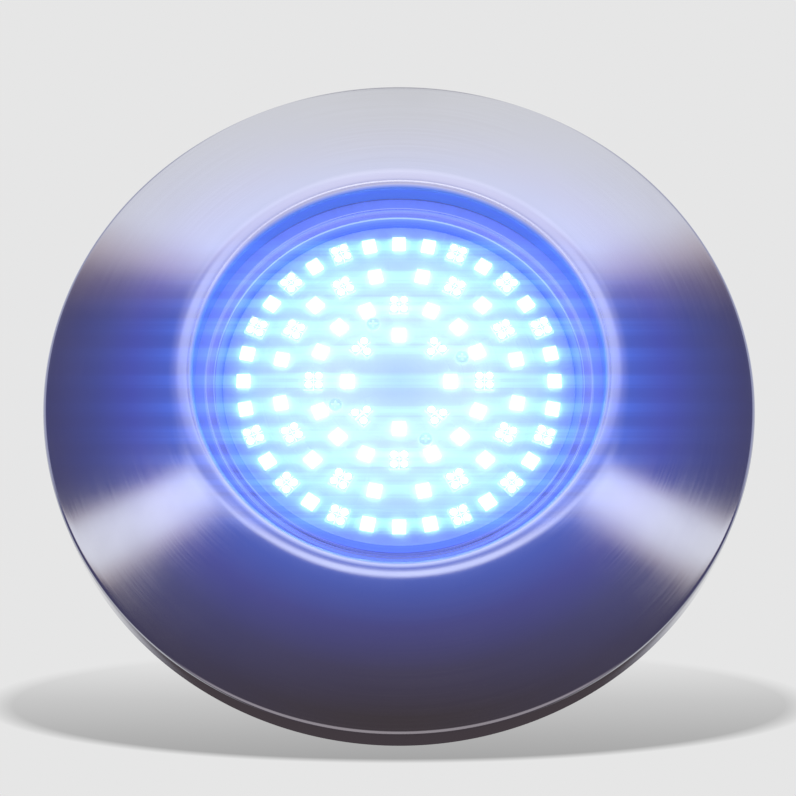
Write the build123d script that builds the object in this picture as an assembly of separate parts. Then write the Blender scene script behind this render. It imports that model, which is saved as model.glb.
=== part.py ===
"""Underwater pool light: a bracket on the pool wall, a lamp that twists into it, and a clip-on trim ring.

Every piece is drawn with Z out of the wall, Y up and z = 0 on the wall, and is stood upright when it is written:
the light then faces -Y and +Z is up, with the origin at the centre of the wall bracket's back face.
"""

from build123d import *
import os
from math import atan2, cos, pi, radians, sin, tan

# Driving dimensions, in millimetres.
RIM_R = 135.5            # outside of the trim ring
RIM_Z = 18.0             # where the trim's face would meet its return flange in a sharp corner
EDGE_R = 2.2             # the bend between them
FLANGE_BACK_Z = 3.0      # back edge of the return flange
CREST_R = 85.0           # outer edge of the rounded lip
CREST_Z = 36.92          # and its height
APERTURE_R = 76.7        # opening inside the lip
SHEET = 1.2              # trim sheet
DOME = 0.15              # how far the cone bulges above a straight line
LIP_TOP = (80.05, 37.82)  # highest circle of the lip
LIP_CORNER_Z = 34.47     # where the lip has turned into the inner wall
PANE_R = 73.0            # raised pane of the lens
PANE_Z = 28.0            # its front face
TUB_R = 88.0             # lamp housing
TUB_BACK_Z = -41.0
BOARD_R = 66.5
BOARD_Z = 21.4           # front face of the LED board
BOARD_T = 1.6
GLAND_R = 8.0            # M16 gland thread
CABLE_R = 4.0
GAP = 0.3                # between pieces that move past each other
SCREW_GAP = 0.1          # between a screw and its hole

# Wall bracket and bayonet.
BRACKET_R = 124.0
BRACKET_BORE_R = 92.0
BRACKET_T = 3.0
FIXING_PCD_R = 112.0
FIXING_HOLE_R = 2.6
HOOK_ANGLES = (90, 210, 330)
HOOK_R = 102.0
HOOK_LIP_R = 95.2
HOOK_TOP_Z = 10.0
HOOK_HALF_ANGLE = 12.0
LUG_R = 98.5
LUG_Z = (4.5, 7.5)
LUG_HALF_ANGLE = 7.0
STOP_GAP_ANGLE = 0.3

# Lens seat, clamp ring and trim carrier.
SEAT_Z = 19.0            # face that the gasket lies on
LEDGE_Z = 16.3           # ledge that the heat sink lies on
SHOULDER_Z = 13.0        # back of the housing's shoulder
SHOULDER_R = 96.0
RIM_WALL_R = 84.6
CLAMP_Z = (25.0, 28.0)
CLAMP_R = (78.0, 94.0)
CLAMP_SCREW_R = 88.0
CARRIER_Z = (11.0, 13.0)
CARRIER_R = (88.6, 124.0)
CARRIER_SCREW_R = 91.8
CLIP_ANGLES = (45, 135, 225, 315)
RIVET_RADII = (109.0, 117.0)

# Driver chamber.
COVER_Z = (-45.0, -42.0)
COVER_SCREW_R = 79.5
DRIVER_Z = -20.4         # front face of the driver board
DRIVER_SIZE = (92.0, 64.0)
STANDOFFS = [(x, y) for x in (-40, 40) for y in (-26, 26)]
LEAD_X = 3.0

# Light points: (kind, radius, angle) on four rings of the board.
SMALL = 3.5              # side of a small LED package
LARGE = 5.0              # side of a large one
LED_H = 1.6
QUAD_PITCH = 3.8
TRIPLE_R = 2.65          # from the middle of a group of three to each package
BOARD_SCREW_R = 26.0

BASE = (Align.CENTER, Align.CENTER, Align.MIN)


def disc(radius, low, high, x=0.0, y=0.0):
    """Round plate or post between two heights."""
    return Pos(x, y, low) * Cylinder(radius, high - low, align=BASE)


def ring(outer, inner, low, high, x=0.0, y=0.0):
    """Flat ring between two heights."""
    return disc(outer, low, high, x, y) - disc(inner, low - 1, high + 1, x, y)


def block(size_x, size_y, low, high, x=0.0, y=0.0):
    """Rectangular block between two heights."""
    return Pos(x, y, low) * Box(size_x, size_y, high - low, align=BASE)


def sector(outer, inner, low, high, start, end):
    """Piece of a flat ring between two angles, in degrees."""
    middle = Pos((outer + inner) / 2, (low + high) / 2)
    section = Plane.XZ * middle * Rectangle(outer - inner, high - low)
    return Rot(0, 0, start) * revolve(section, Axis.Z, revolution_arc=end - start)


def hexagon(across_flats, low, high):
    """Hexagonal nut blank between two heights."""
    outline = RegularPolygon(across_flats / 2, 6, major_radius=False)
    return Pos(0, 0, low) * extrude(outline, high - low)


def around(radius, angles):
    """Points on a circle, at angles in degrees."""
    return [(radius * cos(radians(a)), radius * sin(radians(a))) for a in angles]


def steps(count, first=0.0):
    """Evenly spaced angles, in degrees."""
    return [first + 360 * i / count for i in range(count)]


def screw(x, y, seat, length, shank=1.6, head=3.0, head_h=2.0, facing=1):
    """Pan-head screw with a cross slot. Its head stands on the seat and faces +Z or -Z."""
    body = disc(shank, -length, 0) + disc(head, 0, head_h)
    body = fillet(body.edges().group_by(Axis.Z)[-1], head_h * 0.4)
    for angle in (0, 90):
        body -= Rot(0, 0, angle) * block(head * 1.2, 0.8, head_h * 0.45, head_h + 1)
    turned = body if facing > 0 else Rot(180, 0, 0) * body
    return Pos(x, y, seat) * turned


def drill(part, places, radius, low, high):
    """Cuts the same hole at each place."""
    for x, y in places:
        part -= disc(radius, low, high, x, y)
    return part


def make_trim_ring():
    """Spun sheet: return flange, slightly domed cone, rounded lip and short inner wall."""
    tilt = atan2(CREST_Z - RIM_Z, RIM_R - CREST_R)
    setback = EDGE_R * tan((pi / 2 - tilt) / 2)
    halfway = (pi / 2 + tilt) / 2
    cone_start = (RIM_R - setback * cos(tilt), RIM_Z + setback * sin(tilt))
    cone_mid = ((cone_start[0] + CREST_R) / 2, (cone_start[1] + CREST_Z) / 2 + DOME)
    edge_mid = (RIM_R - EDGE_R + EDGE_R * sin(halfway), RIM_Z - setback + EDGE_R * cos(halfway))
    flange = Line((RIM_R, FLANGE_BACK_Z), (RIM_R, RIM_Z - setback))
    edge = ThreePointArc(flange @ 1, edge_mid, cone_start)
    cone = ThreePointArc(edge @ 1, cone_mid, (CREST_R, CREST_Z))
    crown = ThreePointArc(cone @ 1, (82.55, 37.59), LIP_TOP)
    roll_mid = (APERTURE_R + 0.98, LIP_TOP[1] - 0.98)
    roll = ThreePointArc(crown @ 1, roll_mid, (APERTURE_R, LIP_CORNER_Z))
    wall = Line(roll @ 1, (APERTURE_R, CLAMP_Z[1] + GAP))
    outside = Wire([flange, edge, cone, crown, roll, wall])
    section = make_face(offset(outside, SHEET, side=Side.LEFT))
    return revolve(Plane.XZ * section, Axis.Z)


def make_wall_bracket():
    """Ring plate with three hooks that the lamp's lugs turn under, each closed at one end as a stop."""
    plate = ring(BRACKET_R, BRACKET_BORE_R, 0, BRACKET_T)
    plate = drill(plate, around(FIXING_PCD_R, steps(4, 45)), FIXING_HOLE_R, -1, BRACKET_T + 1)
    for middle in HOOK_ANGLES:
        start, end = middle - HOOK_HALF_ANGLE, middle + HOOK_HALF_ANGLE
        plate += sector(HOOK_R, HOOK_R - 2, BRACKET_T - 1, HOOK_TOP_Z, start, end)
        plate += sector(HOOK_R - 1, HOOK_LIP_R, HOOK_TOP_Z - 2, HOOK_TOP_Z, start, end)
        stop = middle - LUG_HALF_ANGLE - STOP_GAP_ANGLE
        plate += sector(HOOK_R - 1, HOOK_LIP_R, BRACKET_T - 1, HOOK_TOP_Z - 1, start, stop)
    return plate


def make_lamp_housing():
    """Tub with a shoulder that seats the heat sink, the gasket and the clamp ring, and three bayonet lugs."""
    body = disc(TUB_R, TUB_BACK_Z, SHOULDER_Z + 1) + disc(SHOULDER_R, SHOULDER_Z, CLAMP_Z[0] - GAP)
    body -= disc(RIM_WALL_R, SEAT_Z, CLAMP_Z[0] + 1)
    body -= disc(70, LEDGE_Z, SEAT_Z + 1)
    body -= disc(62, SHOULDER_Z - 1, LEDGE_Z + 1)
    body -= disc(TUB_R - 3.5, TUB_BACK_Z - 1, SHOULDER_Z - 2.5)
    body -= Pos(0, 0, SHOULDER_Z - 2.6) * Cone(TUB_R - 3.5, 62, 2.2, align=BASE)
    for angle in steps(24, 7.5):
        body += Rot(0, 0, angle) * block(2.4, 3, TUB_BACK_Z + 3, 1, TUB_R + 0.4, 0)
    for x, y in around(COVER_SCREW_R, steps(6, 30)):
        body += disc(5.6, TUB_BACK_Z, TUB_BACK_Z + 18, x, y)
    for middle in HOOK_ANGLES:
        body += sector(LUG_R, TUB_R - 1, *LUG_Z, middle - LUG_HALF_ANGLE, middle + LUG_HALF_ANGLE)
    body = drill(body, around(COVER_SCREW_R, steps(6, 30)), 1.7, TUB_BACK_Z - 1, TUB_BACK_Z + 15)
    body = drill(body, around(CLAMP_SCREW_R, steps(8, 22.5)), 1.7, SHOULDER_Z + 2.5, CLAMP_Z[0] + 1)
    return drill(body, around(CARRIER_SCREW_R, steps(6)), 1.7, SHOULDER_Z - 1, SHOULDER_Z + 7)


def make_lens():
    """Clear moulding: a raised pane on a skirt, and a flange under the clamp ring."""
    pane = disc(PANE_R, 21, PANE_Z)
    pane = chamfer(pane.edges().group_by(Axis.Z)[-1], 0.7)
    lens = pane + ring(84, PANE_R - 1, 21, 25)
    return lens - disc(70, 20, 24)


def make_clamp_ring():
    """Ring that presses the lens flange on its gasket."""
    clamp = ring(CLAMP_R[1], CLAMP_R[0], *CLAMP_Z)
    return drill(clamp, around(CLAMP_SCREW_R, steps(8, 22.5)), 1.7, CLAMP_Z[0] - 1, CLAMP_Z[1] + 1)


def make_trim_carrier():
    """Ring behind the housing's shoulder that holds the trim clips, lightened by slots."""
    carrier = ring(CARRIER_R[1], CARRIER_R[0], *CARRIER_Z)
    for middle in steps(4):
        carrier -= sector(117, 104, CARRIER_Z[0] - 1, CARRIER_Z[1] + 1, middle - 28, middle + 28)
    carrier = drill(carrier, around(CARRIER_SCREW_R, steps(6)), 1.7, CARRIER_Z[0] - 1, CARRIER_Z[1] + 1)
    for radius in RIVET_RADII:
        carrier = drill(carrier, around(radius, CLIP_ANGLES), 1.6, CARRIER_Z[0] - 1, CARRIER_Z[1] + 1)
    return carrier


def make_trim_clip():
    """Leaf spring: a flat foot on the carrier and a bowed nose that grips the trim's return flange."""
    leaf = 0.8
    foot_z = CARRIER_Z[1]
    nose_r = RIM_R - SHEET - GAP - leaf
    foot = Line((RIVET_RADII[0] - 4, foot_z), (124, foot_z))
    bend = ThreePointArc(foot @ 1, (126.6, foot_z - 0.75), (128.4, foot_z - 2.6))
    arm = Line(bend @ 1, (nose_r - 0.9, 8.4))
    nose = ThreePointArc(arm @ 1, (nose_r, 7.0), (nose_r - 0.9, 5.6))
    tail = Line(nose @ 1, (nose_r - 2.4, 4.2))
    section = make_face(offset(Wire([foot, bend, arm, nose, tail]), leaf, side=Side.LEFT))
    clip = extrude(Plane.XZ * section, 8, both=True)
    return drill(clip, [(r, 0) for r in RIVET_RADII], 1.6, foot_z - 1, foot_z + 3)


def make_rivet(radius):
    """Round-headed rivet, closed on the far side of the carrier."""
    low, high = CARRIER_Z[0], CARRIER_Z[1] + 0.8
    rivet = disc(1.5, low, high, radius) + disc(2.6, high, high + 1.1, radius)
    return rivet + disc(2.4, low - 0.8, low, radius)


def make_heat_sink():
    """Aluminium disc on the housing's ledge, with parallel fins behind it."""
    sink = disc(69.4, LEDGE_Z, LEDGE_Z + 3)
    for i in range(-4, 5):
        y = 11.0 * i
        half = (56.0 ** 2 - y ** 2) ** 0.5
        sink += block(2 * half, 2.0, -2, LEDGE_Z + 0.5, 0, y)
    sink -= disc(7, -3, LEDGE_Z + 4)
    return drill(sink, around(BOARD_SCREW_R, steps(4, 22.5)), 1.6, LEDGE_Z - 1, LEDGE_Z + 4)


def make_thermal_pad():
    """Soft sheet between the heat sink and the board."""
    pad = ring(66, 7, LEDGE_Z + 3, BOARD_Z - BOARD_T)
    return drill(pad, around(BOARD_SCREW_R, steps(4, 22.5)), 1.6, LEDGE_Z + 2, BOARD_Z)


def make_led_board():
    """Round board that carries the LEDs."""
    board = disc(BOARD_R, BOARD_Z - BOARD_T, BOARD_Z)
    return drill(board, around(BOARD_SCREW_R, steps(4, 22.5)), 1.6, BOARD_Z - 3, BOARD_Z + 1)


def light_points():
    """Kind, radius and angle of every light point, the same in each quarter of the board."""
    for i, angle in enumerate(steps(8)):
        yield ("triple", 19.8, angle) if i % 2 else ("single", 19.5, angle)
    for i, angle in enumerate(steps(16)):
        yield ("single" if i % 4 else "quad", 32.3, angle)
    for quarter in steps(4):
        for i in range(5):
            yield ("quad" if i in (1, 3) else "single", 45.5, quarter + 11.5 + 16.75 * i)
    for i, angle in enumerate(steps(32)):
        yield ("quad" if i % 8 in (2, 4, 6) else "single", 58.9, angle)


def package(side, x, y):
    """One LED package with a shallow round window."""
    body = block(side, side, BOARD_Z, BOARD_Z + LED_H, x, y)
    return body - disc(side * 0.4, BOARD_Z + LED_H - 0.3, BOARD_Z + LED_H + 1, x, y)


def make_leds(wanted):
    """All packages of one kind of light point."""
    half = QUAD_PITCH / 2
    inner = (-TRIPLE_R, 0)
    outer = [(TRIPLE_R / 2, side * TRIPLE_R * sin(radians(60))) for side in (-1, 1)]
    groups = {
        "single": [(0, 0)],
        "quad": [(u, v) for u in (-half, half) for v in (-half, half)],
        "triple": [inner, *outer],
    }
    side = LARGE if wanted == "single" else SMALL
    made = []
    for kind, radius, angle in light_points():
        if kind == wanted:
            made += [Rot(0, 0, angle) * package(side, radius + u, v) for u, v in groups[kind]]
    return made


def make_back_cover():
    """Dished plate that closes the tub, with the gland hole in its middle."""
    cover = disc(TUB_R, *COVER_Z)
    cover = fillet(cover.edges().group_by(Axis.Z)[0], 1.2)
    for angle in steps(6):
        cover += Rot(0, 0, angle) * block(46, 3, COVER_Z[0] - 2, COVER_Z[0] + 1, 43, 0)
    cover += disc(19, COVER_Z[0] - 2, COVER_Z[0] + 1)
    cover = drill(cover, around(COVER_SCREW_R, steps(6, 30)), 1.7, COVER_Z[0] - 1, COVER_Z[1] + 1)
    return cover - disc(GLAND_R + SCREW_GAP, COVER_Z[0] - 5, COVER_Z[1] + 1)


def make_driver_board():
    """Rectangular board on four standoffs."""
    board = block(*DRIVER_SIZE, DRIVER_Z - BOARD_T, DRIVER_Z)
    board = drill(board, STANDOFFS, 1.6, DRIVER_Z - 3, DRIVER_Z + 1)
    return drill(board, [(-LEAD_X, 0), (LEAD_X, 0)], 1.0, DRIVER_Z - 3, DRIVER_Z + 1)


def make_standoff(x, y):
    """Tapped post between the back cover and the driver board."""
    return ring(3.2, 1.6, COVER_Z[1], DRIVER_Z - BOARD_T, x, y)


def make_inductor():
    """Drum inductor: two flanges and a wound waist."""
    low = DRIVER_Z
    drum = disc(10, low, low + 2, -25, 12) + disc(8.5, low + 1, low + 12, -25, 12)
    return drum + disc(10, low + 11, low + 13, -25, 12)


def make_capacitor(x, y):
    """Upright can with a rounded top edge."""
    can = disc(5, DRIVER_Z, DRIVER_Z + 16, x, y)
    return fillet(can.edges().group_by(Axis.Z)[-1], 0.8)


def make_chip(x, y, size_x, size_y):
    """Flat chip with a row of legs on each side."""
    chip = block(size_x, size_y, DRIVER_Z + 0.3, DRIVER_Z + 1.7, x, y)
    count = int(size_x // 1.6)
    for i in range(count):
        leg_x = x + (i - (count - 1) / 2) * 1.6
        chip += block(0.5, size_y + 2, DRIVER_Z, DRIVER_Z + 0.6, leg_x, y)
    return chip


def make_terminal_block():
    """Two-way block for the supply cable, with screw wells on top and wire holes in its side."""
    low = DRIVER_Z
    body = block(14, 9, low, low + 11, 0, -25)
    for x in (-3.5, 3.5):
        body -= disc(2, low + 6, low + 12, x, -25)
        body -= Pos(x, -27.5, low + 3.5) * Rot(90, 0, 0) * Cylinder(1.6, 8)
    return body


def make_gland_body():
    """Hollow threaded body: hexagon outside the cover, tail through it, and a stub for the nut."""
    body = hexagon(22, -53.5, -48.5) + disc(GLAND_R, -49, -33) + disc(7.8, -63.5, -53)
    body -= disc(5, -64, -32)
    return body - disc(6.5, -64, -56)


def make_gland_nut():
    """Domed hexagon nut over the stub."""
    nut = hexagon(22, -68, -54.5) + disc(10, -70.5, -67)
    nut -= disc(8.1, -67.5, -54)
    nut -= disc(5, -71, -67)
    return fillet(nut.edges().group_by(Axis.Z)[0].filter_by(GeomType.CIRCLE).sort_by(Edge.length)[-1], 1.5)


def make_gland():
    """The gland's pieces by node name, from the inside out."""
    return {
        "gland_locknut": [hexagon(22, COVER_Z[1], -37) - disc(GLAND_R + SCREW_GAP, -43, -36)],
        "gland_washer": [ring(11.5, GLAND_R + SCREW_GAP, -48.5, COVER_Z[0] - 2)],
        "gland_body": [make_gland_body()],
        "gland_bush": [ring(6.2, CABLE_R, -65.8, -56)],
        "gland_thrust_ring": [ring(7.6, 4.5, -67.2, -66.1)],
        "gland_nut": [make_gland_nut()],
    }


def make_nodes():
    """Every node's solids, by the node's name."""
    nodes = {
        "wall_bracket": [make_wall_bracket()],
        "lamp_housing": [make_lamp_housing()],
        "heat_sink": [make_heat_sink()],
        "thermal_pad": [make_thermal_pad()],
        "led_board": [make_led_board()],
        "led_singles": make_leds("single"),
        "led_quads": make_leds("quad"),
        "led_triples": make_leds("triple"),
        "led_board_screws": [
            screw(x, y, BOARD_Z, 4.6, 1.5, 2.6, 1.4) for x, y in around(BOARD_SCREW_R, steps(4, 22.5))
        ],
        "board_bezel": [ring(69.3, BOARD_R + 0.2, LEDGE_Z + 3, 23.4)],
        "lens_gasket": [ring(83, 74, SEAT_Z, 21)],
        "lens": [make_lens()],
        "lens_clamp_ring": [make_clamp_ring()],
        "clamp_ring_screws": [
            screw(x, y, CLAMP_Z[1], 12) for x, y in around(CLAMP_SCREW_R, steps(8, 22.5))
        ],
        "trim_carrier": [make_trim_carrier()],
        "carrier_screws": [
            screw(x, y, CARRIER_Z[0], 8, head=2.8, head_h=1.5, facing=-1)
            for x, y in around(CARRIER_SCREW_R, steps(6))
        ],
        "trim_clips": [Rot(0, 0, a) * make_trim_clip() for a in CLIP_ANGLES],
        "clip_rivets": [Rot(0, 0, a) * make_rivet(r) for a in CLIP_ANGLES for r in RIVET_RADII],
        "trim_ring": [make_trim_ring()],
        "back_cover": [make_back_cover()],
        "back_cover_seal": [ring(87.8, 85.4, COVER_Z[1], TUB_BACK_Z)],
        "back_cover_screws": [
            screw(x, y, COVER_Z[0], 14, facing=-1) for x, y in around(COVER_SCREW_R, steps(6, 30))
        ],
        "driver_board": [make_driver_board()],
        "driver_standoffs": [make_standoff(x, y) for x, y in STANDOFFS],
        "driver_board_screws": [screw(x, y, DRIVER_Z, 8, 1.5, 2.8, 1.8) for x, y in STANDOFFS],
        "driver_inductor": [make_inductor()],
        "driver_capacitors": [make_capacitor(26, y) for y in (4, 17)],
        "driver_chips": [make_chip(8, 16, 10, 5), make_chip(-22, -14, 6.5, 4), make_chip(26, -14, 6.5, 4)],
        "terminal_block": [make_terminal_block()],
        "led_leads": [disc(0.9, DRIVER_Z - 1, BOARD_Z - BOARD_T, x, 0) for x in (-LEAD_X, LEAD_X)],
    }
    nodes.update(make_gland())
    return nodes


def write(name, solids):
    """Stands the solids upright and writes them as one file."""
    upright = [Rot(90, 0, 0) * solid for solid in solids]
    shape = upright[0] if len(upright) == 1 else Compound(children=upright)
    export_step(shape, f"parts/{name}.step")


def main():
    os.makedirs("parts", exist_ok=True)
    for name, solids in make_nodes().items():
        write(name, solids)


main()
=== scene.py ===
"""Looks of the underwater pool light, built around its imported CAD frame.

The frame has the light facing -Y with +Z up and its wall bracket's back face on y = 0. Heights here are in
millimetres out of the wall, as h = -y, and radii are from the lamp's axis.
"""
from math import atan2, cos, pi, radians, sin, tan

import bmesh
import bpy
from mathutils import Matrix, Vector


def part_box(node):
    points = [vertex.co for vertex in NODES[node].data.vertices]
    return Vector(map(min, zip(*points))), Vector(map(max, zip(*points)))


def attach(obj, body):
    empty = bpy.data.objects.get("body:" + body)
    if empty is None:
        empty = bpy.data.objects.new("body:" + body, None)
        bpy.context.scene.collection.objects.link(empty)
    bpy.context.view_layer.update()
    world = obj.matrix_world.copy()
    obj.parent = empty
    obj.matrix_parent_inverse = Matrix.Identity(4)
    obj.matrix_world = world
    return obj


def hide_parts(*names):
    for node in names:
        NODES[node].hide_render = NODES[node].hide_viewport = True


MM = 0.001
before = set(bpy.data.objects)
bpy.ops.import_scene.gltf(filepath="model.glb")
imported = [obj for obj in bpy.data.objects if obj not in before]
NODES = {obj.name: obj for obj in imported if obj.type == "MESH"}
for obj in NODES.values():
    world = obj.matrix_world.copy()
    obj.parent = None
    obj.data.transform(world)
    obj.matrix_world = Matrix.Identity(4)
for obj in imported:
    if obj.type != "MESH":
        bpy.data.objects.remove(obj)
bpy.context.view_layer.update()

# Trim, in millimetres. Its outside radius and the heights of its two edges come from the frame.
TRIM_LOW, TRIM_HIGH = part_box("trim_ring")
RIM_R = round(TRIM_HIGH.x / MM, 2)
FLANGE_BACK = round(-TRIM_HIGH.y / MM, 2)
CREST = round(-TRIM_LOW.y / MM, 2)
RIM = 18.0               # where the cone would meet the return flange in a sharp corner
EDGE_R = 2.2             # the bend between them
DOME = 0.15              # how far the cone bulges above a straight line
LIP_R = 85.0             # outer edge of the rounded lip
LIP_H = 36.92            # and its height
LIP_MIDDLE = (82.55, 37.59)
LIP_TOP_R = 80.05        # highest circle of the lip
LIP_ROLL = 0.98          # how far the lip's inner bend stays inside its sharp corner
LIP_CORNER = 34.47       # where the lip has turned into the inner wall
APERTURE_R = 76.7        # opening inside the lip
SHEET = 1.2
GAP = 0.3                # from the inner wall's edge to the front of the lens
FLANGE_MIDDLE = 10.0     # points along the straight runs, which keep the shading even
WALL_MIDDLE = 31.5
BROKEN_EDGE = (0.35, 0.4)  # how far the flange's back edge is rounded off, across and along the sheet

# Lens, in millimetres. Its front and back come from the frame.
LENS_LOW, LENS_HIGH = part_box("lens")
LENS_FRONT = round(-LENS_LOW.y / MM, 2)
LENS_BACK = round(-LENS_HIGH.y / MM, 2)
PANE_R = 73.0            # raised pane
PANE_BACK = 24.0
SHOULDER = 1.0           # radius of the pane's rounded edge
LENS_R = 84.0            # clamped flange
LENS_BORE_R = 70.0       # inside of the skirt
LENS_FLANGE = 25.0       # front face of the clamped flange
CHAMFER = 0.3

# Light points, in millimetres and degrees. Each package has a round window, filled with a low dome of resin.
LARGE_SIDE, SMALL_SIDE = 5.0, 3.5
QUAD_OFFSET = 1.9        # half the pitch of four small packages
WINDOW_SHARE = 0.4       # radius of a window as a share of its package's side
WINDOW_GAP = 0.03        # between the resin and the edge of its window
WINDOW_DEPTH = 0.28      # from the package's face to the rim of the resin
RESIN_RISE = 0.26
WINDOW_TURNS, WINDOW_RINGS = 20, 4

TURNS = 360              # facets round the axis
BOARD_REACH = 70.0       # outer ends of the colour ramps by radius, in millimetres
STEEL_REACH = 140.0

# Camera, in metres and degrees: where it stands from the middle of the rim's plane.
CAMERA_DISTANCE = 0.7823
CAMERA_BELOW = 24.695
CAMERA_LENS = 92.84
AIM_DROP = 0.0041        # the camera aims a little below the middle of the rim
AIM_LEFT = 0.0004        # and a little to its left

# Backdrop, and the oval shadow on it: slopes from the camera's axis, sideways and downwards.
BACKDROP = 0.791
SHADOW_WIDE = 0.196
SHADOW_DROP = 0.155
SHADOW_HIGH = 0.0273

FLOOR_Z = -0.46          # metres
FLOOR_HALF = 6.0


# ---------------------------------------------------------------- shapes

def arc(start, middle, end, count):
    """Points on the circle through three points, without the first one."""
    (ax, ay), (bx, by), (cx, cy) = start, middle, end
    d = 2 * (ax * (by - cy) + bx * (cy - ay) + cx * (ay - by))
    a2, b2, c2 = ax * ax + ay * ay, bx * bx + by * by, cx * cx + cy * cy
    centre = Vector((
        (a2 * (by - cy) + b2 * (cy - ay) + c2 * (ay - by)) / d,
        (a2 * (cx - bx) + b2 * (ax - cx) + c2 * (bx - ax)) / d,
    ))
    first = Vector(start) - centre
    turn = first.angle_signed(Vector(end) - centre)
    points = []
    for i in range(1, count + 1):
        a = -turn * i / count
        points.append((
            centre.x + first.x * cos(a) - first.y * sin(a),
            centre.y + first.x * sin(a) + first.y * cos(a),
        ))
    return points


def inset(points, distance):
    """The same open outline moved to its left by a distance."""
    moved = []
    for i, point in enumerate(points):
        before = Vector(points[max(i - 1, 0)])
        after = Vector(points[min(i + 1, len(points) - 1)])
        along = (after - before).normalized()
        moved.append((point[0] - along.y * distance, point[1] + along.x * distance))
    return moved


def ring(bm, radius, height, turns, x=0.0, z=0.0):
    """Vertices round a point, at a height out of the wall. With no radius it is one vertex."""
    count = turns if radius > 1e-6 else 1
    angles = [2 * pi * i / count for i in range(count)]
    return [
        bm.verts.new(((x + radius * cos(a)) * MM, -height * MM, (z + radius * sin(a)) * MM)) for a in angles
    ]


def join(bm, rings, turns):
    """Faces from each ring to the next. A ring of one vertex is a pole."""
    for near, far in zip(rings, rings[1:]):
        for i in range(turns):
            j = (i + 1) % turns
            corners = [near[i % len(near)], near[j % len(near)], far[j % len(far)], far[i % len(far)]]
            bm.faces.new(list(dict.fromkeys(corners)))


def lathe(name, outline):
    """Turns an outline of (radius, height) about the lamp's axis. It may start and end on the axis."""
    bm = bmesh.new()
    rings = [ring(bm, radius, height, TURNS) for radius, height in outline]
    if len(rings[0]) > 1:
        rings.append(rings[0])
    join(bm, rings, TURNS)
    return finished(name, bm)


def finished(name, bm, sharp_angle=35):
    """Makes an object of a bmesh: smooth faces, and sharp edges where it turns by more than the angle."""
    bmesh.ops.recalc_face_normals(bm, faces=bm.faces)
    for face in bm.faces:
        face.smooth = True
    for edge in bm.edges:
        edge.smooth = edge.calc_face_angle(0) < radians(sharp_angle)
    mesh = bpy.data.meshes.new(name)
    bm.to_mesh(mesh)
    bm.free()
    piece = bpy.data.objects.new(name, mesh)
    bpy.context.scene.collection.objects.link(piece)
    return piece


def make_trim():
    """The trim's spun sheet: return flange, rounded rim, slightly domed cone, lip and inner wall."""
    tilt = atan2(LIP_H - RIM, RIM_R - LIP_R)
    setback = EDGE_R * tan((pi / 2 - tilt) / 2)
    halfway = (pi / 2 + tilt) / 2
    edge = (RIM_R - setback * cos(tilt), RIM + setback * sin(tilt))
    bend = (RIM_R - EDGE_R + EDGE_R * sin(halfway), RIM - setback + EDGE_R * cos(halfway))
    dome = ((edge[0] + LIP_R) / 2, (edge[1] + LIP_H) / 2 + DOME)
    lip_top = (LIP_TOP_R, CREST)
    roll = (APERTURE_R + LIP_ROLL, CREST - LIP_ROLL)
    across, along = BROKEN_EDGE
    outside = [(RIM_R, FLANGE_BACK + along), (RIM_R, FLANGE_MIDDLE), (RIM_R, RIM - setback)]
    outside += arc(outside[-1], bend, edge, 10)
    outside += arc(edge, dome, (LIP_R, LIP_H), 28)
    outside += arc((LIP_R, LIP_H), LIP_MIDDLE, lip_top, 12)
    outside += arc(lip_top, roll, (APERTURE_R, LIP_CORNER), 14)
    outside += [(APERTURE_R, WALL_MIDDLE), (APERTURE_R, LENS_FRONT + GAP)]
    inside = inset(outside, SHEET)
    back_edge = [(RIM_R - SHEET + across, FLANGE_BACK), (RIM_R - across, FLANGE_BACK)]
    trim = lathe("trim_spun", outside + inside[::-1] + back_edge)
    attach(trim, "trim")
    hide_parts("trim_ring")
    return trim


def make_lens():
    """Clear moulding: raised pane with a rounded shoulder, skirt and clamped flange."""
    front = [(0, LENS_FRONT), (30, LENS_FRONT), (60, LENS_FRONT), (PANE_R - SHOULDER, LENS_FRONT)]
    front += arc(front[-1], (PANE_R - 0.3, LENS_FRONT - 0.3), (PANE_R, LENS_FRONT - SHOULDER), 6)
    flange = [
        (PANE_R, LENS_FLANGE + 0.4), (PANE_R + 0.4, LENS_FLANGE), (LENS_R - CHAMFER, LENS_FLANGE),
        (LENS_R, LENS_FLANGE - CHAMFER), (LENS_R, LENS_BACK + CHAMFER), (LENS_R - CHAMFER, LENS_BACK),
    ]
    back = [(LENS_BORE_R, LENS_BACK), (LENS_BORE_R, PANE_BACK - 0.4), (LENS_BORE_R - 0.4, PANE_BACK),
            (40, PANE_BACK), (0, PANE_BACK)]
    lens = lathe("lens_glass", front + flange + back)
    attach(lens, "lamp")
    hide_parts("lens")
    return lens


def light_points():
    """Kind, radius and angle of every light point, the same in each quarter of the board."""
    for i in range(8):
        yield ("triple", 19.8, 45 * i) if i % 2 else ("single", 19.5, 45 * i)
    for i in range(16):
        yield ("single" if i % 4 else "quad", 32.3, 22.5 * i)
    for i in range(20):
        yield ("quad" if i % 5 in (1, 3) else "single", 45.5, 90 * (i // 5) + 11.5 + 16.75 * (i % 5))
    for i in range(32):
        yield ("quad" if i % 8 in (2, 4, 6) else "single", 58.9, 11.25 * i)


def packages():
    """Radial and sideways place, angle and side length of every LED package."""
    pair = (-QUAD_OFFSET, QUAD_OFFSET)
    groups = {
        "single": ([(0, 0)], LARGE_SIDE),
        "quad": ([(u, v) for u in pair for v in pair], SMALL_SIDE),
        "triple": ([(-2.65, 0), (1.325, 2.295), (1.325, -2.295)], SMALL_SIDE),
    }
    for kind, radius, angle in light_points():
        places, side = groups[kind]
        for u, v in places:
            yield radius + u, v, radians(angle), side


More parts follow.
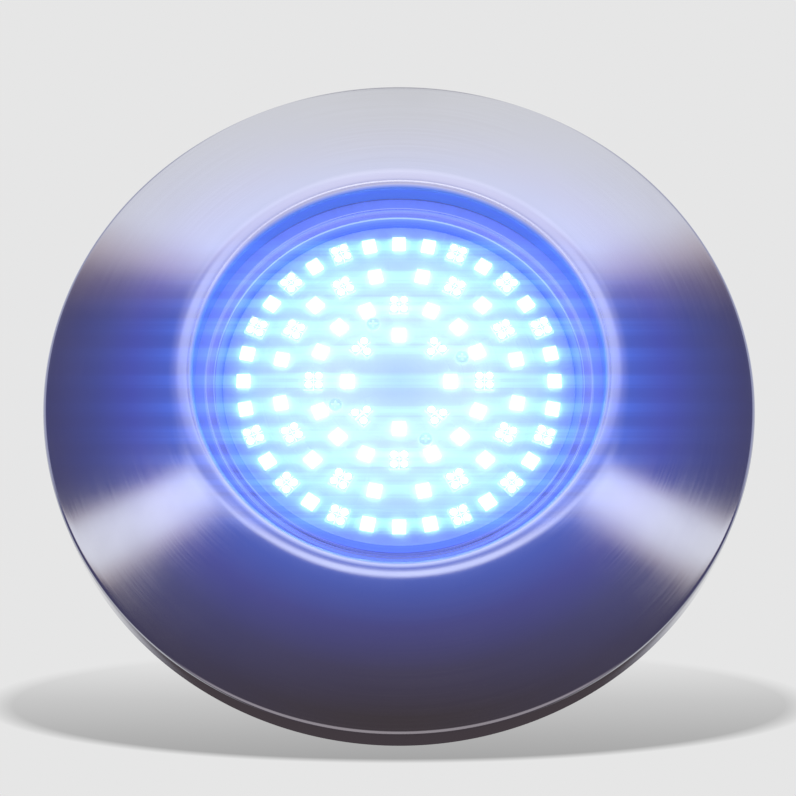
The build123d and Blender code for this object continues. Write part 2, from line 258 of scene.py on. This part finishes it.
def make_led_windows():
    """A domed pool of clear resin in each package's round window."""
    bm = bmesh.new()
    rim = -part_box("led_singles")[0].y / MM - WINDOW_DEPTH
    for radial, sideways, angle, side in packages():
        x = radial * cos(angle) - sideways * sin(angle)
        z = radial * sin(angle) + sideways * cos(angle)
        radius = side * WINDOW_SHARE - WINDOW_GAP
        rings = []
        for k in range(WINDOW_RINGS + 1):
            reach = radius * (1 - k / WINDOW_RINGS)
            height = rim + RESIN_RISE * (1 - (reach / radius) ** 2)
            rings.append(ring(bm, reach, height, WINDOW_TURNS, x, z))
        join(bm, rings, WINDOW_TURNS)
        bm.faces.new(rings[0][::-1])
    windows = finished("led_windows", bm, 60)
    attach(windows, "lamp")
    return windows


# ---------------------------------------------------------------- node trees

class Graph:
    """A node tree under construction. Its helpers add nodes and return what they put out."""

    def __init__(self, tree):
        self.tree = tree

    def node(self, kind, inputs=None, **settings):
        made = self.tree.nodes.new(kind)
        for key, value in settings.items():
            setattr(made, key, value)
        for key, value in (inputs or {}).items():
            if isinstance(value, bpy.types.NodeSocket):
                self.tree.links.new(value, made.inputs[key])
            else:
                made.inputs[key].default_value = value
        return made

    def math(self, operation, a, b=0.0, c=0.0):
        return self.node("ShaderNodeMath", {0: a, 1: b, 2: c}, operation=operation).outputs[0]

    def scaled(self, color, factor):
        return self.node("ShaderNodeVectorMath", {0: color, 3: factor}, operation="SCALE").outputs[0]

    def tinted(self, color, other):
        return self.node("ShaderNodeVectorMath", {0: color, 1: other}, operation="MULTIPLY").outputs[0]

    def added(self, color, other):
        return self.node("ShaderNodeVectorMath", {0: color, 1: other}, operation="ADD").outputs[0]

    def mixed(self, factor, under, over):
        return self.node("ShaderNodeMix", {0: factor, 6: under, 7: over}, data_type="RGBA").outputs[2]

    def span(self, value, low, high, to_low=0.0, to_high=1.0):
        """Maps a value linearly, without going past either end."""
        inputs = {"Value": value, "From Min": low, "From Max": high, "To Min": to_low, "To Max": to_high}
        return self.node("ShaderNodeMapRange", inputs).outputs["Result"]

    def window(self, value, low_out, low_in, high_in, high_out):
        """1 between the two inner values and 0 past the outer ones, with smooth steps between."""
        rise = {0: value, 1: low_out, 2: low_in}
        fall = {0: value, 1: high_in, 2: high_out, 3: 1.0, 4: 0.0}
        steps = [
            self.node("ShaderNodeMapRange", step, interpolation_type="SMOOTHSTEP").outputs[0]
            for step in (rise, fall)
        ]
        return self.math("MULTIPLY", *steps)

    def ramp(self, factor, stops):
        """Colour ramp through (position, colour) stops."""
        made = self.node("ShaderNodeValToRGB", {0: factor})
        elements = made.color_ramp.elements
        while len(elements) < len(stops):
            elements.new(0.5)
        for element, (position, color) in zip(elements, stops):
            element.position = position
            element.color = (*color, 1.0)
        return made.outputs["Color"]

    def graded(self, value, reach, stops):
        """Colour ramp over a value from 0 to its reach, through (value, colour) stops."""
        return self.ramp(self.math("DIVIDE", value, reach), [(at / reach, color) for at, color in stops])


class Look(Graph):
    """A material under construction: one Principled shader, with helpers for what feeds it."""

    def __init__(self, name, color, roughness, metallic=0.0):
        self.material = bpy.data.materials.new(name)
        self.material.use_nodes = True
        super().__init__(self.material.node_tree)
        self.shader = self.tree.nodes["Principled BSDF"]
        self.set("Base Color", (*color, 1.0))
        self.set("Roughness", roughness)
        self.set("Metallic", metallic)

    def set(self, socket, value):
        self.shader.inputs[socket].default_value = value

    def feed(self, socket, output):
        self.tree.links.new(output, self.shader.inputs[socket])

    def shine(self, color, strength):
        """The same light given off all over."""
        self.set("Emission Color", (*color, 1.0))
        self.set("Emission Strength", strength)

    def glow(self, color, strength=1.0):
        """Light given off that changes from place to place."""
        self.feed("Emission Color", color)
        self.set("Emission Strength", strength)

    def place(self):
        return self.node("ShaderNodeTexCoord").outputs["Object"]

    def polar(self):
        """Distance from the lamp's axis in millimetres, and the angle round it."""
        xyz = self.node("ShaderNodeSeparateXYZ", {0: self.place()})
        x, z = xyz.outputs["X"], xyz.outputs["Z"]
        squares = self.math("ADD", self.math("MULTIPLY", x, x), self.math("MULTIPLY", z, z))
        radius = self.math("MULTIPLY", self.math("SQRT", squares), 1 / MM)
        return radius, self.math("ARCTAN2", z, x)

    def facing(self):
        """-1 where the surface faces out of the wall, 1 where it faces the wall."""
        normal = self.node("ShaderNodeTexCoord").outputs["Normal"]
        return self.node("ShaderNodeSeparateXYZ", {0: normal}).outputs["Y"]

    def noise(self, vector, scale, detail=4.0, roughness=0.55):
        inputs = {"Vector": vector, "Scale": scale, "Detail": detail, "Roughness": roughness}
        return self.node("ShaderNodeTexNoise", inputs).outputs["Fac"]

    def bump(self, height, strength, distance):
        inputs = {"Height": height, "Strength": strength, "Distance": distance}
        self.feed("Normal", self.node("ShaderNodeBump", inputs).outputs["Normal"])


# ---------------------------------------------------------------- materials

def spun_steel():
    """Steel sheet turned on a lathe: fine grooves round the axis, slightly uneven polish, with painted blue
    light on its inner wall and round the lens.
    """
    look = Look("spun_stainless", (0.72, 0.73, 0.76), 0.2, 1.0)
    radius, angle = look.polar()
    turned = look.node("ShaderNodeCombineXYZ", {0: look.math("MULTIPLY", radius, 2.6), 1: angle})
    grooves = look.noise(turned.outputs[0], 1.0, 3.0, 0.6)
    blotches = look.noise(look.place(), 38.0, 5.0)
    color = look.ramp(grooves, [(0.3, (0.70, 0.705, 0.73)), (0.7, (0.74, 0.75, 0.78))])
    # Painted light: the inner wall's colour is tinted dark blue for the LEDs' light on it.
    inner = look.graded(radius, STEEL_REACH, [(77.4, (0.09, 0.14, 0.42)), (78.2, (1, 1, 1))])
    look.feed("Base Color", look.tinted(color, inner))
    uneven = look.span(blotches, 0.35, 0.7, 0.0, 0.04)
    polish = look.math("ADD", look.span(grooves, 0.3, 0.7, 0.10, 0.14), uneven)
    inner_edge = look.span(radius, 77.0, 79.5, 0.2, 0.0)
    duller = look.math("ADD", inner_edge, look.span(radius, 84.0, 88.0, 0.08, 0.0))
    look.feed("Roughness", look.math("ADD", polish, duller))
    look.bump(grooves, 0.02, 0.0001)
    halo(look, radius, angle)
    return look.material


def halo(look, radius, angle):
    """Painted blue light on the steel round the lit lens, reaching further to the sides, and a pale painted
    highlight on the lip.
    """
    near = look.graded(radius, STEEL_REACH, [
        (76.0, (0.040, 0.100, 0.50)), (84.0, (0.028, 0.075, 0.40)), (88.0, (0.024, 0.062, 0.34)),
        (100.0, (0.020, 0.028, 0.17)), (115.0, (0.010, 0.012, 0.05)), (130.0, (0.0, 0.0, 0.0))])
    wide = look.graded(radius, STEEL_REACH, [
        (76.0, (0.0, 0.0, 0.0)), (88.0, (0.002, 0.012, 0.13)), (100.0, (0.001, 0.018, 0.20)),
        (115.0, (0.002, 0.020, 0.17)), (130.0, (0.008, 0.018, 0.12)), (136.0, (0.006, 0.015, 0.09))])
    # Painted blue glow on the inner wall.
    wall = look.graded(radius, STEEL_REACH, [(77.3, (0.07, 0.14, 0.44)), (78.3, (0.0, 0.0, 0.0))])
    # Pale painted highlight on the lip, brighter towards the top.
    lip = look.graded(radius, STEEL_REACH, [
        (77.3, (0.0, 0.0, 0.0)), (78.1, (0.38, 0.36, 0.38)), (79.5, (0.30, 0.29, 0.32)),
        (82.0, (0.22, 0.20, 0.24)), (86.0, (0.0, 0.0, 0.0))])
    sideways = look.math("POWER", look.math("ABSOLUTE", look.math("COSINE", angle)), 2.0)
    height = look.math("SINE", angle)
    above = look.math("MAXIMUM", height, 0.0)
    # The painted glow on the cone is weaker at the top.
    under = look.math("SUBTRACT", 1.0, look.math("MULTIPLY", above, 0.55))
    rising = look.span(height, -0.9, 1.0)
    out = look.span(look.facing(), -0.6, -0.2, 1.0, 0.0)
    face = look.scaled(look.added(look.scaled(near, under), look.scaled(wide, sideways)), out)
    inward = look.span(look.facing(), 0.1, 0.4, 1.0, 0.0)
    edge = look.scaled(look.added(look.scaled(lip, rising), wall), inward)
    look.glow(look.added(face, edge))


def brushed_steel(name, color, roughness):
    """Flat steel with a straight grain and faint stains."""
    look = Look(name, color, roughness, 1.0)
    grain = look.node("ShaderNodeMapping", {"Vector": look.place(), "Scale": (25.0, 900.0, 1400.0)})
    lines = look.noise(grain.outputs[0], 1.0, 3.0)
    stains = look.noise(look.place(), 60.0, 5.0)
    dark = tuple(c * 0.82 for c in color)
    bright = tuple(min(c * 1.12, 1.0) for c in color)
    look.feed("Base Color", look.ramp(lines, [(0.3, dark), (0.7, bright)]))
    uneven = look.span(lines, 0.3, 0.7, roughness - 0.06, roughness + 0.04)
    look.feed("Roughness", look.math("ADD", uneven, look.span(stains, 0.4, 0.7, 0.0, 0.08)))
    look.bump(lines, 0.12, 0.0002)
    return look.material


def moulded_plastic(name, color, roughness, grain=1500.0, depth=0.25):
    """Moulded plastic with a fine spark-eroded texture and slight handling shine."""
    look = Look(name, color, roughness)
    texture = look.noise(look.place(), grain, 2.0)
    wear = look.noise(look.place(), 30.0, 6.0)
    pale = tuple(min(c * 1.35 + 0.006, 1.0) for c in color)
    look.feed("Base Color", look.ramp(wear, [(0.35, color), (0.75, pale)]))
    look.feed("Roughness", look.span(wear, 0.3, 0.75, roughness + 0.06, roughness - 0.08))
    look.bump(texture, depth, 0.0003)
    return look.material


def rubber(name, color):
    """Matt rubber with bloom and a soft fine grain."""
    look = Look(name, color, 0.7)
    look.set("Specular IOR Level", 0.35)
    grain = look.noise(look.place(), 900.0, 3.0)
    dust = look.noise(look.place(), 70.0, 5.0)
    pale = tuple(c + 0.03 for c in color)
    look.feed("Base Color", look.ramp(dust, [(0.35, color), (0.75, pale)]))
    look.bump(grain, 0.2, 0.0002)
    return look.material


def cast_aluminium():
    """Heat sink metal: pale, slightly rough, with a cast skin."""
    look = Look("heat_sink_aluminium", (0.75, 0.76, 0.78), 0.38, 1.0)
    skin = look.noise(look.place(), 420.0, 5.0)
    look.feed("Base Color", look.ramp(skin, [(0.3, (0.66, 0.67, 0.69)), (0.7, (0.80, 0.81, 0.83))]))
    look.feed("Roughness", look.span(skin, 0.3, 0.7, 0.32, 0.48))
    look.bump(skin, 0.25, 0.0003)
    return look.material


def lit_board():
    """White solder resist flooded with blue light, with faint copper tracks under it."""
    look = Look("white_board", (0.72, 0.82, 0.95), 0.35)
    radius, angle = look.polar()
    look.glow(look.graded(radius, BOARD_REACH, [
        (0.0, (0.32, 0.46, 1.0)), (12.0, (0.41, 0.55, 1.0)), (26.0, (0.45, 0.54, 1.0)),
        (39.0, (0.38, 0.51, 0.98)), (52.0, (0.29, 0.43, 0.95)), (58.0, (0.16, 0.27, 0.9)),
        (63.0, (0.06, 0.11, 0.8)), (66.5, (0.03, 0.07, 0.75))]), 0.92)
    tracks = look.math("SINE", look.math("MULTIPLY", radius, 1.35))
    spokes = look.math("SINE", look.math("MULTIPLY", angle, 16.0))
    raised = look.math("MAXIMUM", look.span(tracks, 0.86, 0.9), look.span(spokes, 0.95, 0.97))
    look.bump(raised, 0.35, 0.0002)
    return look.material


def led_body(name, strength):
    """White package moulding, lit through."""
    look = Look(name, (0.95, 0.97, 1.0), 0.4)
    look.shine((0.48, 0.78, 1.0), strength)
    return look.material


def led_glow():
    """Resin over the die: the light itself."""
    look = Look("led_window", (1.0, 1.0, 1.0), 0.15)
    look.shine((0.45, 0.70, 1.0), 5.0)
    return look.material


def nylon():
    """White nylon screws, lit by the board round them."""
    look = Look("screw_nylon", (0.55, 0.72, 0.92), 0.6)
    look.shine((0.42, 0.56, 1.0), 0.95)
    return look.material


def lens_glass():
    """Clear moulding with a frosted skirt and flange, which carry the blue light round, shown as painted
    blue colour and glow.
    """
    look = Look("clear_lens", (0.93, 0.97, 1.0), 0.02)
    look.set("IOR", 1.49)
    radius, angle = look.polar()
    # Slight tint of the clear pane; the frosted flange is painted dark blue for the light it carries.
    glass_tint_and_painted_blue = [(73.0, (0.93, 0.97, 1.0)), (73.6, (0.12, 0.22, 0.6))]
    look.feed("Base Color", look.graded(radius, LENS_R, glass_tint_and_painted_blue))
    look.feed("Roughness", look.span(radius, 72.9, 73.5, 0.02, 0.4))
    look.feed("Transmission Weight", look.span(radius, 73.0, 73.6, 1.0, 0.25))
    # Painted blue glow near the pane's edge and over the skirt and flange, brighter towards the top.
    light = look.graded(radius, LENS_R, [
        (66.0, (0.0, 0.0, 0.0)), (68.0, (0.06, 0.09, 0.35)), (72.2, (0.09, 0.11, 0.40)),
        (72.6, (0.17, 0.21, 0.6)), (73.0, (0.17, 0.21, 0.6)), (73.3, (0.13, 0.18, 0.68)),
        (80.0, (0.11, 0.16, 0.64))])
    look.glow(look.scaled(light, look.span(look.math("SINE", angle), -1.0, 0.0, 0.5, 1.0)))
    return look.material


def bezel_plastic():
    """Blue ring round the board, lit by it."""
    look = Look("bezel_plastic", (0.03, 0.08, 0.36), 0.5)
    look.set("Specular IOR Level", 0.12)
    radius, _ = look.polar()
    look.glow(look.graded(radius, LENS_R, [
        (66.0, (0.06, 0.13, 0.75)), (67.2, (0.08, 0.15, 0.75)), (67.8, (0.05, 0.11, 0.70)),
        (69.3, (0.05, 0.11, 0.70))]))
    return look.material


def cover(piece, material):
    """Gives a piece its one material."""
    piece.data.materials.clear()
    piece.data.materials.append(material)


def dress_all():
    """Materials of every node that is shown as it is."""
    bracket = brushed_steel("bracket_stainless", (0.60, 0.61, 0.62), 0.34)
    spring = brushed_steel("spring_stainless", (0.66, 0.66, 0.67), 0.22)
    screws = brushed_steel("screw_stainless", (0.68, 0.68, 0.69), 0.24)
    brass = brushed_steel("nickel_brass", (0.70, 0.67, 0.60), 0.28)
    gland = moulded_plastic("gland_plastic", (0.045, 0.046, 0.050), 0.40)
    black = moulded_plastic("component_black", (0.02, 0.02, 0.022), 0.45)
    gasket = rubber("gasket_rubber", (0.025, 0.025, 0.028))
    small_led = led_body("led_small_package", 0.75)
    looks = {
        "wall_bracket": bracket, "trim_carrier": bracket, "lens_clamp_ring": bracket,
        "trim_clips": spring, "clip_rivets": screws, "carrier_screws": screws,
        "clamp_ring_screws": screws, "back_cover_screws": screws, "driver_board_screws": screws,
        "driver_standoffs": brass, "gland_locknut": brass,
        "gland_body": gland, "gland_thrust_ring": gland, "gland_nut": gland,
        "lens_gasket": gasket, "back_cover_seal": gasket, "gland_washer": gasket, "gland_bush": gasket,
        "driver_inductor": black, "driver_chips": black,
        "led_quads": small_led, "led_triples": small_led,
        "led_singles": led_body("led_large_package", 2.4),
        "led_board": lit_board(),
        "led_board_screws": nylon(),
        "board_bezel": bezel_plastic(),
        "lamp_housing": moulded_plastic("housing_plastic", (0.035, 0.036, 0.040), 0.48),
        "back_cover": moulded_plastic("cover_plastic", (0.040, 0.041, 0.045), 0.50),
        "heat_sink": cast_aluminium(),
        "thermal_pad": rubber("silicone_pad", (0.30, 0.38, 0.52)),
        "driver_board": moulded_plastic("green_board", (0.02, 0.16, 0.07), 0.32, 400.0, 0.1),
        "driver_capacitors": moulded_plastic("capacitor_sleeve", (0.03, 0.05, 0.16), 0.30, 300.0, 0.05),
        "terminal_block": moulded_plastic("terminal_plastic", (0.04, 0.18, 0.08), 0.35),
        "led_leads": moulded_plastic("lead_insulation", (0.50, 0.03, 0.02), 0.40),
    }
    for node, material in looks.items():
        cover(NODES[node], material)


# ---------------------------------------------------------------- stage

def make_floor():
    """Pale floor well below the light, which hangs on its wall bracket."""
    bm = bmesh.new()
    bmesh.ops.create_grid(bm, x_segments=4, y_segments=4, size=FLOOR_HALF)
    floor = finished("floor", bm)
    floor.location.z = FLOOR_Z
    look = Look("floor_paper", (0.80, 0.80, 0.80), 0.9)
    look.set("Specular IOR Level", 0.1)
    cover(floor, look.material)
    floor.visible_glossy = False


def make_world():
    """The studio lights the object, and the camera sees the backdrop in its place."""
    world = bpy.data.worlds.new("studio")
    bpy.context.scene.world = world
    world.use_nodes = True
    graph = Graph(world.node_tree)
    graph.tree.nodes.clear()
    direction = graph.node("ShaderNodeTexCoord").outputs["Generated"]
    shining = graph.node("ShaderNodeBackground", {"Color": studio(graph, direction), "Strength": 1.0})
    seen = graph.node("ShaderNodeBackground", {"Color": backdrop(graph, direction), "Strength": 1.0})
    direct = graph.node("ShaderNodeLightPath").outputs["Is Camera Ray"]
    mix = graph.node("ShaderNodeMixShader", {0: direct, 1: shining.outputs[0], 2: seen.outputs[0]})
    graph.node("ShaderNodeOutputWorld", {"Surface": mix.outputs[0]})


def studio(graph, direction):
    """Light from each direction: a softbox overhead, a graded panel and a low strip in front, and paler
    patches at the sides, behind, low down behind and below. Elevation is in degrees above the horizon, and
    bearing in degrees from straight in front of the lamp, to either side."""
    xyz = graph.node("ShaderNodeSeparateXYZ", {0: direction})
    elevation = graph.math("MULTIPLY", graph.math("ARCSINE", xyz.outputs["Z"]), 180 / pi)
    ahead = graph.math("MULTIPLY", xyz.outputs["Y"], -1.0)
    aside = graph.math("ABSOLUTE", graph.math("ARCTAN2", xyz.outputs["X"], ahead))
    bearing = graph.math("MULTIPLY", aside, 180 / pi)

    def patch(heights, sides):
        """1 in a patch of the studio and 0 outside it. Both limits are given as for a window."""
        return graph.math("MULTIPLY", graph.window(elevation, *heights), graph.window(bearing, *sides))

    overhead = graph.graded(elevation, 90.0, [
        (34.65, (0.068, 0.054, 0.060)), (40.5, (0.19, 0.135, 0.11)), (44.1, (0.60, 0.51, 0.47)),
        (48.6, (0.83, 0.83, 0.85)), (77.4, (0.83, 0.83, 0.85)), (81.9, (0.26, 0.25, 0.32))])
    panel = patch((8.0, 14.0, 50.0, 60.0), (-2, -1, 22, 34))
    panel_light = graph.graded(elevation, 90.0, [
        (11.7, (0.10, 0.09, 0.13)), (19.8, (0.17, 0.15, 0.21)), (27.0, (0.33, 0.32, 0.37)),
        (35.1, (0.50, 0.48, 0.49)), (49.5, (0.60, 0.60, 0.62))])
    level = patch((-5.5, 0.0, 3.9, 7.2), (-2, -1, 52, 62))
    middle = patch((-9.0, -5.0, 8.0, 12.0), (-2, -1, 10, 20))
    strip = graph.math("MAXIMUM", level, middle)
    strip_light = graph.ramp(strip, [
        (0.0, (0.12, 0.08, 0.065)), (0.4, (0.46, 0.37, 0.31)), (1.0, (0.92, 0.92, 0.94))])
    sides = patch((-2.0, 12.0, 60.0, 75.0), (56, 70, 190, 200))
    behind = patch((2.0, 16.0, 95.0, 96.0), (105, 130, 190, 200))
    low = patch((-45.0, -30.0, 20.0, 30.0), (95, 108, 140, 152))
    paper = patch((-95.0, -94.0, -48.0, -34.0), (-2, -1, 100, 120))
    lit = graph.mixed(panel, overhead, panel_light)
    lit = graph.mixed(graph.math("MINIMUM", graph.math("MULTIPLY", strip, 4.0), 1.0), lit, strip_light)
    lit = graph.mixed(sides, lit, (0.40, 0.40, 0.47, 1.0))
    lit = graph.mixed(behind, lit, (0.79, 0.79, 0.79, 1.0))
    lit = graph.mixed(low, lit, (0.55, 0.55, 0.57, 1.0))
    return graph.mixed(paper, lit, (0.38, 0.34, 0.36, 1.0))


def backdrop(graph, direction):
    """Flat grey backdrop with a soft oval shadow low on it, darker towards its lower edge."""
    below = radians(CAMERA_BELOW)

    def along(axis):
        inputs = {0: direction, 1: axis}
        return graph.node("ShaderNodeVectorMath", inputs, operation="DOT_PRODUCT").outputs["Value"]

    depth = along((0.0, cos(below), sin(below)))
    drop = graph.math("DIVIDE", along((0.0, sin(below), -cos(below))), depth)
    aside = graph.math("DIVIDE", along((1.0, 0.0, 0.0)), depth)
    wide = graph.math("DIVIDE", aside, SHADOW_WIDE)
    high = graph.math("DIVIDE", graph.math("SUBTRACT", drop, SHADOW_DROP), SHADOW_HIGH)
    squares = graph.math("ADD", graph.math("MULTIPLY", wide, wide), graph.math("MULTIPLY", high, high))
    inside = graph.span(graph.math("SQRT", squares), 0.96, 1.04, 1.0, 0.0)
    inside = graph.math("MULTIPLY", inside, graph.math("GREATER_THAN", depth, 0.0))
    grey = graph.ramp(graph.math("MULTIPLY_ADD", high, 0.5, 0.5), [
        (0.0, (0.79, 0.79, 0.79)), (0.13, (0.745, 0.745, 0.745)), (0.45, (0.571, 0.571, 0.571)),
        (0.78, (0.44, 0.44, 0.44)), (1.0, (0.37, 0.37, 0.37))])
    return graph.mixed(inside, (BACKDROP, BACKDROP, BACKDROP, 1.0), grey)


def make_camera():
    """Camera in front of the light and below its axis, looking up at it."""
    data = bpy.data.cameras.new("camera")
    data.lens = CAMERA_LENS
    data.sensor_width = 36.0
    camera = bpy.data.objects.new("camera", data)
    bpy.context.scene.collection.objects.link(camera)
    middle = Vector((0, -RIM * MM, 0))
    below = radians(CAMERA_BELOW)
    camera.location = middle + CAMERA_DISTANCE * Vector((0, -cos(below), -sin(below)))
    aim = middle + Vector((-AIM_LEFT, AIM_DROP * sin(below), -AIM_DROP * cos(below)))
    camera.rotation_euler = (aim - camera.location).to_track_quat("-Z", "Y").to_euler()
    bpy.context.scene.camera = camera


def make_bloom():
    """The glow that the LEDs leave in a lens: a soft halo and level streaks."""
    scene = bpy.context.scene
    scene.view_settings.view_transform = "Standard"
    scene.use_nodes = True
    graph = Graph(scene.node_tree)
    graph.tree.nodes.clear()
    layers = graph.node("CompositorNodeRLayers")
    bloom = graph.node("CompositorNodeGlare", {
        "Image": layers.outputs["Image"], "Threshold": 1.0, "Size": 0.6, "Strength": 0.3,
        "Tint": (0.10, 0.22, 1.0, 1.0),
    }, glare_type="BLOOM", quality="HIGH")
    streaks = graph.node("CompositorNodeGlare", {
        "Image": bloom.outputs["Image"], "Threshold": 1.6, "Streaks": 2, "Streaks Angle": 0.0,
        "Strength": 1.0, "Fade": 0.97, "Iterations": 5, "Color Modulation": 0.0,
        "Tint": (0.12, 0.25, 0.75, 1.0),
    }, glare_type="STREAKS", quality="HIGH")
    graph.node("CompositorNodeComposite", {"Image": streaks.outputs["Image"]})


trim = make_trim()
lens = make_lens()
windows = make_led_windows()
dress_all()
cover(trim, spun_steel())
cover(lens, lens_glass())
cover(windows, led_glow())
make_floor()
make_world()
make_camera()
make_bloom()
